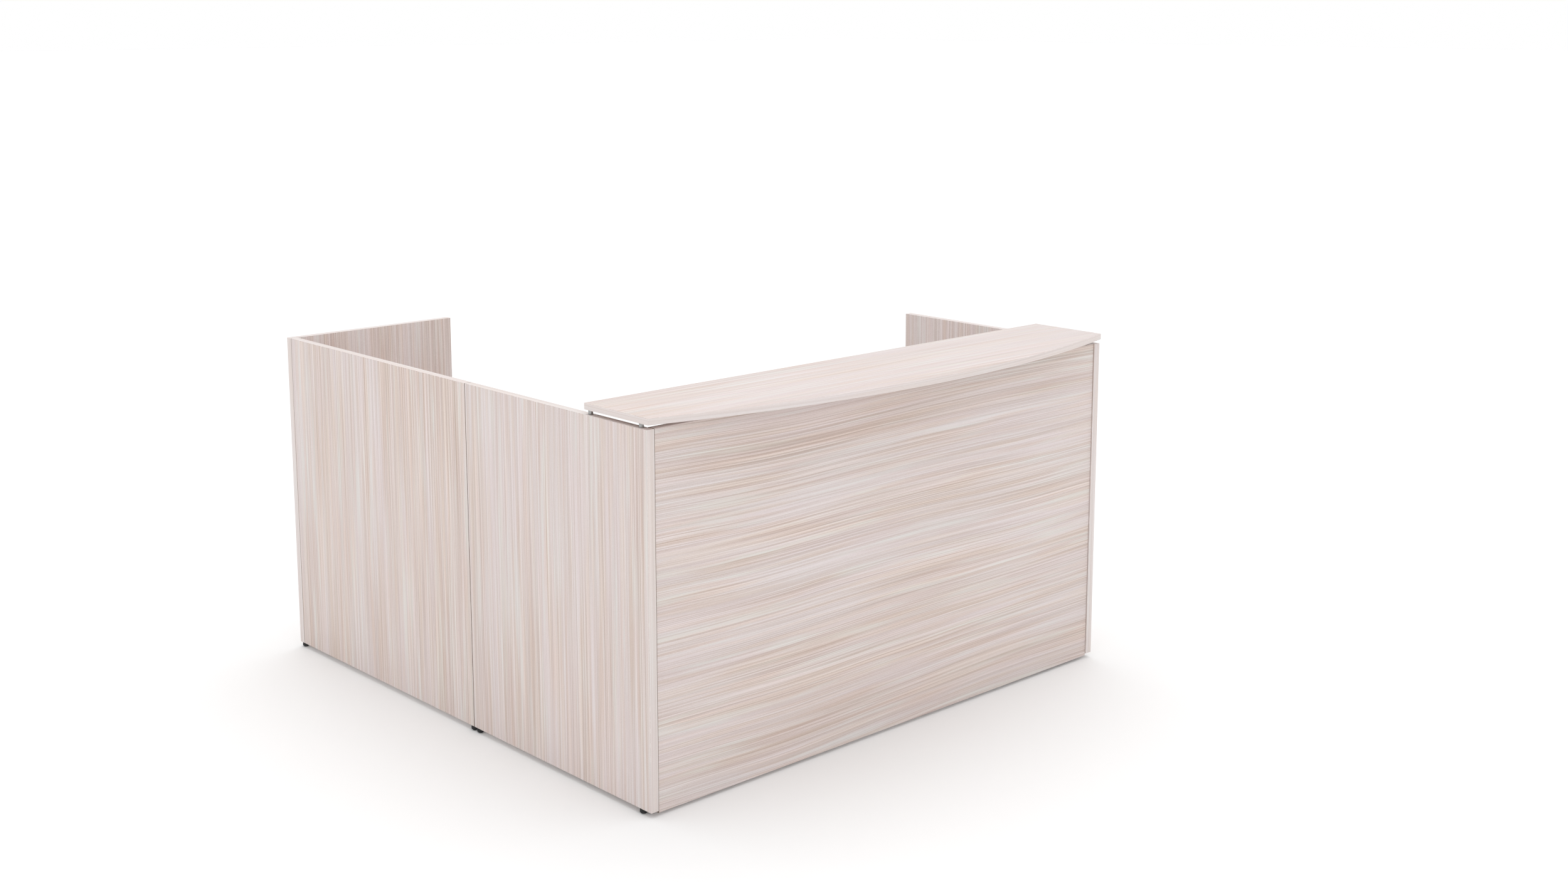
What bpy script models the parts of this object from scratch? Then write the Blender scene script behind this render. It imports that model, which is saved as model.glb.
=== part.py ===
"""L-shaped laminate service counter with a floating bow-front transaction top.

The visitor stands on the -Y side (the bowed front) and on the -X side (the return wing).
The clerk sits inside the L. All values are metres, +Z is up, and the origin is on the
floor, at the middle of the counter's bounding box.

Run it with: blender --background --python part.py
"""
import math

import bmesh
import bpy
from mathutils import Matrix, Vector

# ---- Driving dimensions -------------------------------------------------------------
WIDTH = 1.830            # across the front, outer face to outer face
HEIGHT = 1.067           # floor to the upper face of the transaction top
WING_DEPTH = 1.842       # left side, front edge to the back of the return
END_DEPTH = 0.818        # front to back of the two end panels
RETURN_REACH = 0.600     # return end panel, along X
BOARD = 0.025            # thickness of every shell board and worktop
FIT = 0.0003             # gap kept between pieces that touch

TOP_THICKNESS = 0.018
TOP_GAP = 0.013          # daylight between the shell and the transaction top
TOP_REAR = 0.259         # rear edge of the top, behind the panel fronts
TOP_CORNER = 0.005       # its front corners, ahead of the panel fronts
BOW_RISE = 0.130         # how far the bow swells beyond those corners
BOW_SEGMENTS = 48

FOOT_HEIGHT = 0.016      # floor to the lower edge of the end panels
FOOT_RADIUS = 0.0105
FOOT_TRAVEL = 0.012
STEM_RADIUS = 0.004
STEM_LENGTH = FOOT_TRAVEL + 0.014     # what stays in the bore at full travel
STEM_BORE_RADIUS = 0.0045
STEM_BORE_DEPTH = 0.030
FRONT_PANEL_DROP = 0.0065    # the front panel hangs this much lower than the end panels
FRONT_PANEL_INSET = 0.003    # its face is set back from the end panels' front edges
FRONT_PANEL_GAP = 0.001      # open joint at each of its ends
SEAM = 0.0015            # open joint between the left end panel and the return

WORKTOP_LEVEL = 0.750    # upper face of the worktops
WORKTOP_DEPTH = 0.762

STANDOFF_RADIUS = 0.007
PORT_HOLE_RADIUS = 0.030
PORT_SPOTS = (0.420, 1.250)      # cable ports, from the left face
PORT_SETBACK = 0.110             # behind the panel fronts

PEDESTAL_WIDTH = 0.400
PEDESTAL_DEPTH = 0.540
PEDESTAL_HEIGHT = 0.500
PEDESTAL_BOARD = 0.016
DRAWER_FRONT = 0.018
FRONT_REVEAL = 0.003     # gap around each drawer front
BUMPER_GAP = 0.002       # between a closed drawer front and the pedestal
BOX_BAY_HEIGHT = 0.160   # share of the pedestal's height that the box drawer takes
DRAWER_DEPTH = 0.508
DRAWER_WALL = 0.012
PULL_DROP = 0.055        # pull centre, below the top of its drawer front
LOCK_DROP = 0.024        # lock centre, below the top of the box drawer's front
LOCK_INSET = 0.070       # lock centre, from the pedestal's left side
SLIDE_WIDTH = 0.0127
SLIDE_LENGTH = 0.500
SLIDE_STEEL = 0.0012
ANGLE_STEEL = 0.0025
ANGLE_LEG = 0.030

# ---- Reference planes ---------------------------------------------------------------
BOW_REACH = TOP_CORNER + BOW_RISE
LEFT = -WIDTH / 2
RIGHT = WIDTH / 2
FRONT = (BOW_REACH - WING_DEPTH) / 2       # front edges of the end panels
BACK = FRONT + WING_DEPTH
END_BACK = FRONT + END_DEPTH
SHELL_TOP = HEIGHT - TOP_THICKNESS - TOP_GAP
INNER_LEFT = LEFT + BOARD + FIT            # where pieces touch the shell inside
INNER_RIGHT = RIGHT - BOARD - FIT
INNER_FRONT = FRONT + FRONT_PANEL_INSET + BOARD + FIT
INNER_BACK = BACK - BOARD - FIT
WORKTOP_UNDER = WORKTOP_LEVEL - BOARD
WORKTOP_EDGE = FRONT + BOARD + WORKTOP_DEPTH

# ---- Colours: base colour, roughness, metallic ---------------------------------------
FINISHES = {
    "laminate": ((0.72, 0.66, 0.62), 0.45, 0.0),
    "drawer_board": ((0.78, 0.76, 0.72), 0.55, 0.0),
    "satin_metal": ((0.62, 0.62, 0.61), 0.30, 1.0),
    "zinc_steel": ((0.55, 0.56, 0.57), 0.40, 1.0),
    "black_plastic": ((0.02, 0.02, 0.02), 0.50, 0.0),
    "grommet_plastic": ((0.48, 0.44, 0.41), 0.45, 0.0),
}


# ---- Scene helpers ------------------------------------------------------------------
def clear_scene():
    for obj in list(bpy.data.objects):
        bpy.data.objects.remove(obj, do_unlink=True)


def make_collection(name):
    collection = bpy.data.collections.new(name)
    bpy.context.scene.collection.children.link(collection)
    return collection


def make_material(name):
    colour, roughness, metallic = FINISHES[name]
    material = bpy.data.materials.new(name)
    material.use_nodes = True
    shader = material.node_tree.nodes["Principled BSDF"]
    shader.inputs["Base Color"].default_value = (*colour, 1.0)
    shader.inputs["Roughness"].default_value = roughness
    shader.inputs["Metallic"].default_value = metallic
    material.diffuse_color = (*colour, 1.0)
    return material


def add_piece(name, mesh, finish, location=(0, 0, 0), parent=None):
    """Link a named piece with its material, at a place given in the world."""
    piece = bpy.data.objects.new(name, mesh)
    piece.data.materials.append(MATERIALS[finish])
    COUNTER.objects.link(piece)
    piece.location = location
    if parent:
        piece.parent = parent
        piece.location -= parent.location
    return piece


def add_empty(name, location):
    """An empty that carries the pieces which move together."""
    empty = bpy.data.objects.new(name, None)
    empty.empty_display_size = 0.05
    COUNTER.objects.link(empty)
    empty.location = location
    return empty


# ---- Shape helpers ------------------------------------------------------------------
def cuboid_mesh(name, size):
    mesh = bpy.data.meshes.new(name)
    form = bmesh.new()
    bmesh.ops.create_cube(form, size=1.0, matrix=Matrix.Diagonal((*size, 1.0)))
    form.to_mesh(mesh)
    form.free()
    return mesh


def board(name, low, high, finish="laminate", parent=None):
    """A flat board between two opposite corners."""
    low, high = Vector(low), Vector(high)
    return add_piece(name, cuboid_mesh(name, high - low), finish, (low + high) / 2, parent)


def open_box(name, low, high, parent):
    """A drawer box: a floor and four walls."""
    low, high = Vector(low), Vector(high)
    mesh = cuboid_mesh(name, high - low)
    form = bmesh.new()
    form.from_mesh(mesh)
    lid = [face for face in form.faces if face.normal.z > 0.5]
    bmesh.ops.delete(form, geom=lid, context="FACES_ONLY")
    form.to_mesh(mesh)
    form.free()
    piece = add_piece(name, mesh, "drawer_board", (low + high) / 2, parent)
    shell = piece.modifiers.new("Wall", "SOLIDIFY")
    shell.thickness = DRAWER_WALL
    shell.offset = -1.0
    shell.use_even_offset = True


def folded_strip(name, section, along, start, end, steel=ANGLE_STEEL, parent=None):
    """Sheet steel folded to a section and run along X, Y or Z between two values.

    The section is the middle of the sheet, as points in the other two axes, in order.
    """
    mesh = bpy.data.meshes.new(name)
    form = bmesh.new()
    axis = "XYZ".index(along)

    def point(pair, value):
        place = list(pair)
        place.insert(axis, value)
        return form.verts.new(place)

    near = [point(pair, start) for pair in section]
    far = [point(pair, end) for pair in section]
    for i in range(len(section) - 1):
        form.faces.new((near[i], near[i + 1], far[i + 1], far[i]))
    centre = sum((vert.co for vert in form.verts), Vector()) / len(form.verts)
    bmesh.ops.translate(form, verts=form.verts, vec=-centre)
    form.to_mesh(mesh)
    form.free()
    piece = add_piece(name, mesh, "zinc_steel", centre, parent)
    sheet = piece.modifiers.new("Sheet", "SOLIDIFY")
    sheet.thickness = steel
    sheet.offset = 0.0
    sheet.use_even_offset = True


def turned(name, profile, location, finish, segments=32, parent=None):
    """A turned piece: (radius, height) points, run down the outer side."""
    mesh = bpy.data.meshes.new(name)
    form = bmesh.new()
    verts = [form.verts.new((radius, 0.0, height)) for radius, height in profile]
    for i in range(len(verts) - 1):
        form.edges.new((verts[i], verts[i + 1]))
    if profile[0][0] > 0:
        form.edges.new((verts[-1], verts[0]))
    form.to_mesh(mesh)
    form.free()
    piece = add_piece(name, mesh, finish, location, parent)
    lathe = piece.modifiers.new("Lathe", "SCREW")
    lathe.steps = segments
    lathe.render_steps = segments
    lathe.use_merge_vertices = True
    lathe.merge_threshold = 0.00001
    lathe.use_smooth_shade = True
    return piece


def tool(name, mesh, location, target, operation="DIFFERENCE"):
    """Cut a mesh out of a piece, or join it on."""
    guide = bpy.data.objects.new(name, mesh)
    CUTTERS.objects.link(guide)
    guide.location = location
    guide.hide_render = True
    guide.display_type = "WIRE"
    step = target.modifiers.new(name, "BOOLEAN")
    step.operation = operation
    step.object = guide


def bore(name, target, centre, radius, low, high, segments=24):
    """An upright round hole through or into a piece, between two heights."""
    mesh = bpy.data.meshes.new(name)
    form = bmesh.new()
    bmesh.ops.create_cone(form, cap_ends=True, segments=segments, radius1=radius,
                          radius2=radius, depth=high - low)
    form.to_mesh(mesh)
    form.free()
    tool(name, mesh, (*centre, (low + high) / 2), target)


# ---- Shell --------------------------------------------------------------------------
def build_shell():
    """The boards that the visitor sees, standing on their edges."""
    foot, top = FOOT_HEIGHT, SHELL_TOP
    gap, face = BOARD + FRONT_PANEL_GAP, FRONT + FRONT_PANEL_INSET
    board("front_panel", (LEFT + gap, face, foot - FRONT_PANEL_DROP),
          (RIGHT - gap, face + BOARD, top))
    left = board("left_end_panel", (LEFT, FRONT, foot), (LEFT + BOARD, END_BACK, top))
    right = board("right_end_panel", (RIGHT - BOARD, FRONT, foot), (RIGHT, END_BACK, top))
    side = board("return_side_panel", (LEFT, END_BACK + SEAM, foot),
                 (LEFT + BOARD, BACK - BOARD - FIT, top))
    end = board("return_end_panel", (LEFT, BACK - BOARD, foot),
                (LEFT + RETURN_REACH, BACK, top))
    return {"left": left, "right": right, "side": side, "end": end}


def bow_outline():
    """Outline of the transaction top: straight back and ends, one arc in front."""
    half = WIDTH / 2
    corner = FRONT - TOP_CORNER
    radius = (half ** 2 + BOW_RISE ** 2) / (2 * BOW_RISE)
    centre_y = corner - BOW_RISE + radius
    sweep = math.asin(half / radius)
    points = [(RIGHT, FRONT + TOP_REAR), (LEFT, FRONT + TOP_REAR)]
    for i in range(BOW_SEGMENTS + 1):
        angle = -sweep + 2 * sweep * i / BOW_SEGMENTS
        points.append((radius * math.sin(angle), centre_y - radius * math.cos(angle)))
    return points


def build_transaction_top():
    curve = bpy.data.curves.new("transaction_top", "CURVE")
    curve.dimensions = "2D"
    curve.fill_mode = "BOTH"
    curve.extrude = TOP_THICKNESS / 2
    outline = bow_outline()
    spline = curve.splines.new("POLY")
    spline.points.add(len(outline) - 1)
    for point, (x, y) in zip(spline.points, outline):
        point.co = (x, y, 0.0, 1.0)
    spline.use_cyclic_u = True
    add_piece("transaction_top", curve, "laminate", (0, 0, HEIGHT - TOP_THICKNESS / 2))


def build_standoffs():
    """Short barrels that hold the transaction top clear of the shell."""
    edge = BOARD / 2
    spots = {
        "standoff_left_front": (LEFT + edge, FRONT + 0.036),
        "standoff_left_rear": (LEFT + edge, FRONT + 0.247),
        "standoff_right_front": (RIGHT - edge, FRONT + 0.036),
        "standoff_right_rear": (RIGHT - edge, FRONT + 0.247),
        "standoff_middle_left": (LEFT + WIDTH / 3, FRONT + FRONT_PANEL_INSET + edge),
        "standoff_middle_right": (RIGHT - WIDTH / 3, FRONT + FRONT_PANEL_INSET + edge),
    }
    rise = TOP_GAP - 2 * FIT
    chamfer = 0.0008
    profile = [(0, rise), (STANDOFF_RADIUS - chamfer, rise),
               (STANDOFF_RADIUS, rise - chamfer), (STANDOFF_RADIUS, chamfer),
               (STANDOFF_RADIUS - chamfer, 0), (0, 0)]
    for name, (x, y) in spots.items():
        turned(name, profile, (x, y, SHELL_TOP + FIT), "satin_metal")


# ---- Levelling feet -----------------------------------------------------------------
def build_feet(panels):
    """Screw-in feet. Each has its origin on its stem, at the floor."""
    edge = BOARD / 2
    spots = {
        "foot_left_front": ("left", LEFT + edge, FRONT + 0.047),
        "foot_left_rear": ("left", LEFT + edge, END_BACK - 0.013),
        "foot_right_front": ("right", RIGHT - edge, FRONT + 0.047),
        "foot_right_rear": ("right", RIGHT - edge, END_BACK - 0.013),
        "foot_return_front": ("side", LEFT + edge, END_BACK + SEAM + 0.015),
        "foot_return_corner": ("end", LEFT + edge, BACK - edge),
        "foot_return_inner": ("end", LEFT + RETURN_REACH - 0.045, BACK - edge),
    }
    pad = FOOT_HEIGHT - FIT
    profile = [(0, pad + STEM_LENGTH), (STEM_RADIUS, pad + STEM_LENGTH), (STEM_RADIUS, pad),
               (FOOT_RADIUS, pad), (FOOT_RADIUS, 0.004), (FOOT_RADIUS - 0.004, 0), (0, 0)]
    for name, (panel, x, y) in spots.items():
        turned(name, profile, (x, y, 0), "black_plastic", segments=24)
        bore(name + "_bore", panels[panel], (x, y), STEM_BORE_RADIUS,
             FOOT_HEIGHT - 0.005, FOOT_HEIGHT + STEM_BORE_DEPTH)


# ---- Worktops and cable ports -------------------------------------------------------
def build_worktops():
    desk = board("desk_worktop", (INNER_LEFT, INNER_FRONT, WORKTOP_UNDER),
                 (INNER_RIGHT, WORKTOP_EDGE, WORKTOP_LEVEL))
    board("return_worktop", (INNER_LEFT, WORKTOP_EDGE + FIT, WORKTOP_UNDER),
          (LEFT + RETURN_REACH, INNER_BACK, WORKTOP_LEVEL))
    for side, from_left in zip(("left", "right"), PORT_SPOTS):
        build_cable_port(side, desk, LEFT + from_left, FRONT + PORT_SETBACK)


def build_cable_port(side, desk, x, y):
    """A flanged sleeve in the worktop, and a turning cap with a slot for the cables."""
    bore("cable_port_bore_" + side, desk, (x, y), PORT_HOLE_RADIUS,
         WORKTOP_UNDER - 0.01, WORKTOP_LEVEL + 0.01, segments=32)
    tube, throat = PORT_HOLE_RADIUS - FIT, 0.0265
    flange, recess, ledge, rim = 0.040, 0.0355, 0.0015, 0.0032
    sleeve = [(throat, ledge), (recess, ledge), (recess, rim), (flange - 0.001, rim),
              (flange, rim - 0.001), (flange, FIT), (tube, FIT), (tube, -0.022),
              (throat, -0.022)]
    turned("cable_sleeve_" + side, sleeve, (x, y, WORKTOP_LEVEL), "grommet_plastic")
    cap_radius, under = recess - 0.0004, ledge + FIT
    cap = turned("cable_cap_" + side,
                 [(0, rim), (cap_radius, rim), (cap_radius, under), (0, under)],
                 (x, y, WORKTOP_LEVEL), "grommet_plastic")
    slot_half, slot_centre = 0.010, 0.014
    bore("cable_slot_end_" + side, cap, (x, y + slot_centre), slot_half,
         WORKTOP_LEVEL - 0.01, WORKTOP_LEVEL + 0.02)
    reach = 0.030
    tool("cable_slot_run_" + side, cuboid_mesh("slot", (2 * slot_half, reach, 0.02)),
         (x, y + slot_centre + reach / 2, WORKTOP_LEVEL), cap)


# ---- Brackets -----------------------------------------------------------------------
def corner_angle(name, x, y, x_way, y_way):
    """An upright angle against two walls that meet at (x, y)."""
    x, y = x + x_way * ANGLE_STEEL / 2, y + y_way * ANGLE_STEEL / 2
    section = [(x + x_way * ANGLE_LEG, y), (x, y), (x, y + y_way * ANGLE_LEG)]
    folded_strip(name, section, "Z", 0.100, WORKTOP_UNDER - 0.060)


def shelf_angle(name, along, wall, way, start, end):
    """A level angle under a worktop, against a wall that faces way (1 or -1)."""
    wall = wall + way * ANGLE_STEEL / 2
    shelf = WORKTOP_UNDER - FIT - ANGLE_STEEL / 2
    section = [(wall, shelf - ANGLE_LEG), (wall, shelf), (wall + way * ANGLE_LEG, shelf)]
    folded_strip(name, section, along, start, end)


def build_brackets():
    """Folded steel that holds the boards together on the clerk's side."""
    corner_angle("front_corner_angle_left", INNER_LEFT, INNER_FRONT, 1, 1)
    corner_angle("front_corner_angle_right", INNER_RIGHT, INNER_FRONT, -1, 1)
    corner_angle("return_corner_angle", INNER_LEFT, INNER_BACK, 1, -1)
    shelf_angle("desk_angle_left", "Y", INNER_LEFT, 1, FRONT + 0.120, FRONT + 0.700)
    shelf_angle("desk_angle_front", "X", INNER_FRONT, 1, LEFT + 0.150, RIGHT - 0.150)
    shelf_angle("return_angle_side", "Y", INNER_LEFT, 1, END_BACK + 0.100, BACK - 0.150)
    shelf_angle("return_angle_end", "X", INNER_BACK, -1, LEFT + 0.120,
                LEFT + RETURN_REACH - 0.040)

    plate, seam = 0.080, END_BACK + SEAM / 2
    for level, z in (("lower", 0.150), ("upper", 0.560)):
        board("return_joint_plate_" + level, (INNER_LEFT, seam - plate / 2, z),
              (INNER_LEFT + ANGLE_STEEL, seam + plate / 2, z + plate), "zinc_steel")
    splice_x, splice_length, splice_reach = LEFT + 0.260, 0.160, 0.045
    board("worktop_splice_plate",
          (splice_x, WORKTOP_EDGE - splice_reach, WORKTOP_UNDER - FIT - ANGLE_STEEL),
          (splice_x + splice_length, WORKTOP_EDGE + splice_reach, WORKTOP_UNDER - FIT),
          "zinc_steel")


# ---- Hanging drawer pedestal --------------------------------------------------------
def build_pedestal():
    """A carcass hung under the worktop, against the right end panel."""
    wall = PEDESTAL_BOARD
    right, left = INNER_RIGHT, INNER_RIGHT - PEDESTAL_WIDTH
    top, bottom = WORKTOP_UNDER - FIT, WORKTOP_UNDER - FIT - PEDESTAL_HEIGHT
    front = WORKTOP_EDGE - DRAWER_FRONT - BUMPER_GAP
    back = front - PEDESTAL_DEPTH
    inner_left, inner_right = left + wall + FIT, right - wall - FIT
    board("pedestal_left_side", (left, back, bottom), (left + wall, front, top))
    board("pedestal_right_side", (right - wall, back, bottom), (right, front, top))
    board("pedestal_bottom", (inner_left, back, bottom), (inner_right, front, bottom + wall))
    lid = board("pedestal_top", (inner_left, back, top - wall), (inner_right, front, top))
    board("pedestal_back", (inner_left, back, bottom + wall + FIT),
          (inner_right, back + 0.006, top - wall - FIT))

    split = top - BOX_BAY_HEIGHT
    box_low, box_high = split + 0.010, split + 0.105
    file_low, file_high = bottom + wall + 0.012, split - 0.045
    box_front = build_drawer("box", (left, right), front, (split, top - FRONT_REVEAL),
                             (box_low, box_high), (box_low + box_high) / 2)
    build_drawer("file", (left, right), front, (bottom, split - FRONT_REVEAL),
                 (file_low, file_high), (file_low + file_high) / 2)
    build_lock(box_front, lid, (left + LOCK_INSET, WORKTOP_EDGE,
                                top - FRONT_REVEAL - LOCK_DROP))


def build_drawer(kind, sides, carcass_front, front_span, box_span, slide_height):
    """A drawer with its front, pull and pair of ball-bearing slides."""
    left, right = sides
    front_back = carcass_front + BUMPER_GAP
    face = front_back + DRAWER_FRONT
    middle = (left + right) / 2
    runner = add_empty(kind + "_drawer_runner", (middle, carcass_front, slide_height))
    front = board(kind + "_drawer_front",
                  (left + FRONT_REVEAL / 2, front_back, front_span[0]),
                  (right - FRONT_REVEAL / 2, face, front_span[1]), "laminate", runner)
    inset = PEDESTAL_BOARD + SLIDE_WIDTH + 2 * FIT
    open_box(kind + "_drawer_box", (left + inset, front_back - DRAWER_DEPTH, box_span[0]),
             (right - inset, front_back - FIT, box_span[1]), runner)
    build_pull(kind + "_drawer_pull", (middle, face + FIT, front_span[1] - PULL_DROP), runner)
    build_slides(kind, sides, carcass_front, slide_height, runner)
    return front


def build_pull(name, base, parent):
    """A round bar bent into a flat arch, fixed by its two ends."""
    span, rise, bend, rod = 0.128, 0.030, 0.012, 0.005
    steps = 5
    path = [(-span / 2, 0.0)]
    for i in range(steps + 1):
        angle = math.pi / 2 * i / steps
        path.append((-span / 2 + bend * (1 - math.cos(angle)),
                     rise - bend + bend * math.sin(angle)))
    path += [(-x, y) for x, y in reversed(path)]
    curve = bpy.data.curves.new(name, "CURVE")
    curve.dimensions = "3D"
    curve.bevel_depth = rod
    curve.bevel_resolution = 3
    curve.use_fill_caps = True
    spline = curve.splines.new("POLY")
    spline.points.add(len(path) - 1)
    for point, (x, y) in zip(spline.points, path):
        point.co = (x, y, 0.0, 1.0)
    add_piece(name, curve, "satin_metal", base, parent)


def build_slides(kind, sides, carcass_front, height, runner):
    """Three nested channels on each side: fixed, carriage and drawer member.

    The carriage travels half as far as the drawer.
    """
    carriage = add_empty(kind + "_drawer_carriage", runner.location)
    front = carcass_front - 0.004
    rear = front - SLIDE_LENGTH
    half = SLIDE_STEEL / 2
    for side, wall_x, way in (("left", sides[0] + PEDESTAL_BOARD + FIT, 1),
                              ("right", sides[1] - PEDESTAL_BOARD - FIT, -1)):
        def channel(member, web, lip, reach, parent):
            """A channel with its web and the ends of its lips at distances from the wall."""
            web_x, lip_x = wall_x + way * web, wall_x + way * lip
            section = [(lip_x, height - reach), (web_x, height - reach),
                       (web_x, height + reach), (lip_x, height + reach)]
            folded_strip("_".join((kind, "slide", member, side)), section, "Y", rear, front,
                         SLIDE_STEEL, parent)

        channel("fixed", half, 0.0085, 0.0222, None)
        channel("carriage", 0.0030, 0.0100, 0.0180, carriage)
        channel("moving", SLIDE_WIDTH - half, 0.0060, 0.0140, runner)


def build_lock(front, lid, spot):
    """A cam lock. Turned up, its cam stands in a mortise in the pedestal's top."""
    x, face, z = spot
    barrel, bore_radius, length = 0.008, 0.0084, DRAWER_FRONT + 0.014
    head, head_radius = 0.0025, 0.0105
    upright = Matrix.Rotation(-math.pi / 2, 4, "X")
    mesh = bpy.data.meshes.new("lock_bore")
    form = bmesh.new()
    bmesh.ops.create_cone(form, cap_ends=True, segments=24, radius1=bore_radius,
                          radius2=bore_radius, depth=0.04, matrix=upright)
    form.to_mesh(mesh)
    form.free()
    tool("lock_bore", mesh, (x, face - DRAWER_FRONT / 2, z), front)

    # The piece lies along Y, with its own +Z pointing out of the drawer front.
    profile = [(0, head), (head_radius - 0.0008, head), (head_radius, head - 0.0008),
               (head_radius, FIT), (barrel, FIT), (barrel, -length), (0, -length)]
    lock = turned("drawer_lock", profile, (x, face, z), "satin_metal", segments=24,
                  parent=front.parent)
    lock.rotation_euler = upright.to_euler()
    cam_length, cam_width, cam_steel = 0.018, 0.010, 0.003
    cam_y = face - length + cam_steel / 2 + 0.001
    tool("lock_cam", cuboid_mesh("lock_cam", (cam_length, cam_steel, cam_width)),
         (x + cam_length / 2, cam_y, z), lock, "UNION")
    mortise, shift, clearance = (0.025, 0.007, 0.012), 0.006, 0.0018
    tool("lock_mortise", cuboid_mesh("lock_mortise", mortise),
         (x + shift, cam_y, z + cam_length + clearance - mortise[2] / 2), lid)


# ---- Build --------------------------------------------------------------------------
clear_scene()
COUNTER = make_collection("service_counter")
CUTTERS = make_collection("cutters")
MATERIALS = {finish: make_material(finish) for finish in FINISHES}
build_feet(build_shell())
build_transaction_top()
build_standoffs()
build_worktops()
build_brackets()
build_pedestal()
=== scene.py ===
"""Looks of the L-shaped laminate service counter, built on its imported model.

Everything is in metres, in the model's own frame: +Z up, the visitor on the -Y and -X sides,
the clerk inside the L. New pieces are meshes made in place, so their objects stay at the origin.
"""
import math

import bmesh
import bpy
from mathutils import Matrix, Vector


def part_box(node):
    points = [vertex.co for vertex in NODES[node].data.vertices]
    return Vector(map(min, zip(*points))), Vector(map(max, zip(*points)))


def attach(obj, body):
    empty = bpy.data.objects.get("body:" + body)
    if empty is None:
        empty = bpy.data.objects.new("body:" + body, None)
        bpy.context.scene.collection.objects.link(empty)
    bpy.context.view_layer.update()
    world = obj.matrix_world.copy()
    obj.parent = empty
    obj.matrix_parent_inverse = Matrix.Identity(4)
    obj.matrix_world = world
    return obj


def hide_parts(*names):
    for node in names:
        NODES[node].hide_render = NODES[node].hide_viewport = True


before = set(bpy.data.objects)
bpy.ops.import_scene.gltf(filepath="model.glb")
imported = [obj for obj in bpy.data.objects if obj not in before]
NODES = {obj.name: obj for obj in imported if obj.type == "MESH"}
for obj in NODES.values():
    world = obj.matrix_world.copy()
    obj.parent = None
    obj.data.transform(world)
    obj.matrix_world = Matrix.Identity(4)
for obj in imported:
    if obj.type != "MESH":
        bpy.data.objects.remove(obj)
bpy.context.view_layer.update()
SLOTS = {name: node.material_slots[0].material.name for name, node in NODES.items()}
X, Y, Z = (Vector(axis) for axis in ((1, 0, 0), (0, 1, 0), (0, 0, 1)))
SHARP = math.radians(35)      # an edge sharper than this is bevelled and shaded hard
STEEL = 0.0025                # thickness of the angles and plates
DRAWER_WALL = 0.012           # thickness of the drawer boxes' walls


# ---- Node helpers -------------------------------------------------------------------
def linear(red, green, blue):
    """A colour given in display values, 0 to 255, as the shader wants it."""
    def convert(value):
        value /= 255
        return value / 12.92 if value <= 0.04045 else ((value + 0.055) / 1.055) ** 2.4
    return convert(red), convert(green), convert(blue), 1.0


class Nodes:
    """Short calls that add nodes to a tree. Any input takes a value or another node's output."""

    def __init__(self, tree):
        self.tree = tree

    def add(self, kind, inputs, **settings):
        node = self.tree.nodes.new(kind)
        for key, value in settings.items():
            setattr(node, key, value)
        for key, value in inputs.items():
            if isinstance(value, bpy.types.NodeSocket):
                self.tree.links.new(value, node.inputs[key])
            else:
                node.inputs[key].default_value = value
        return node

    def math(self, operation, *values):
        return self.add("ShaderNodeMath", dict(enumerate(values)), operation=operation).outputs[0]

    def total(self, *values):
        result = values[0]
        for value in values[1:]:
            result = self.math("ADD", result, value)
        return result

    def around(self, value, weight):
        """weight * (value - 0.5)"""
        return self.math("MULTIPLY", self.math("SUBTRACT", value, 0.5), weight)

    def split(self, vector):
        return self.add("ShaderNodeSeparateXYZ", {0: vector}).outputs[:3]

    def join(self, x, y, z):
        return self.add("ShaderNodeCombineXYZ", {0: x, 1: y, 2: z}).outputs[0]

    def pick(self, factor, low, high):
        return self.add("ShaderNodeMix", {0: factor, 2: low, 3: high}).outputs[0]

    def blend(self, factor, low, high, blend_type="MIX"):
        return self.add("ShaderNodeMix", {0: factor, 6: low, 7: high}, data_type="RGBA",
                        blend_type=blend_type).outputs[2]

    def step(self, value, low, high, start=0.0, end=1.0):
        """A smooth step of a value between two limits."""
        return self.add("ShaderNodeMapRange", {0: value, 1: low, 2: high, 3: start, 4: end},
                        interpolation_type="SMOOTHSTEP").outputs[0]

    def noise(self, vector, scale, detail=1.0, roughness=0.5):
        return self.add("ShaderNodeTexNoise", {"Vector": vector, "Scale": scale,
                                               "Detail": detail, "Roughness": roughness}
                        ).outputs[0]

    def streaks(self, cross, along, seed, per_metre, drawn_out, detail=1.0, roughness=0.75):
        """Noise that is fine across the grain and long along it, both as features per metre."""
        vector = self.join(self.math("MULTIPLY", cross, per_metre),
                           self.math("MULTIPLY", along, drawn_out), seed)
        return self.noise(vector, 1.0, detail, roughness)


def new_material(name, roughness, metallic=0.0):
    """A material with its shader and helpers. Sockets that vary are linked by the caller."""
    material = bpy.data.materials.new(name)
    material.use_nodes = True
    shader = material.node_tree.nodes["Principled BSDF"]
    shader.inputs["Roughness"].default_value = roughness
    shader.inputs["Metallic"].default_value = metallic
    return material, Nodes(material.node_tree), shader


def connect(nodes, shader, colour, roughness, height, relief, strength):
    """Link colour, roughness and a bump of the given relief in metres."""
    nodes.tree.links.new(colour, shader.inputs["Base Color"])
    nodes.tree.links.new(roughness, shader.inputs["Roughness"])
    bump = nodes.add("ShaderNodeBump", {"Height": height, "Distance": relief,
                                        "Strength": strength})
    nodes.tree.links.new(bump.outputs[0], shader.inputs["Normal"])


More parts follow.
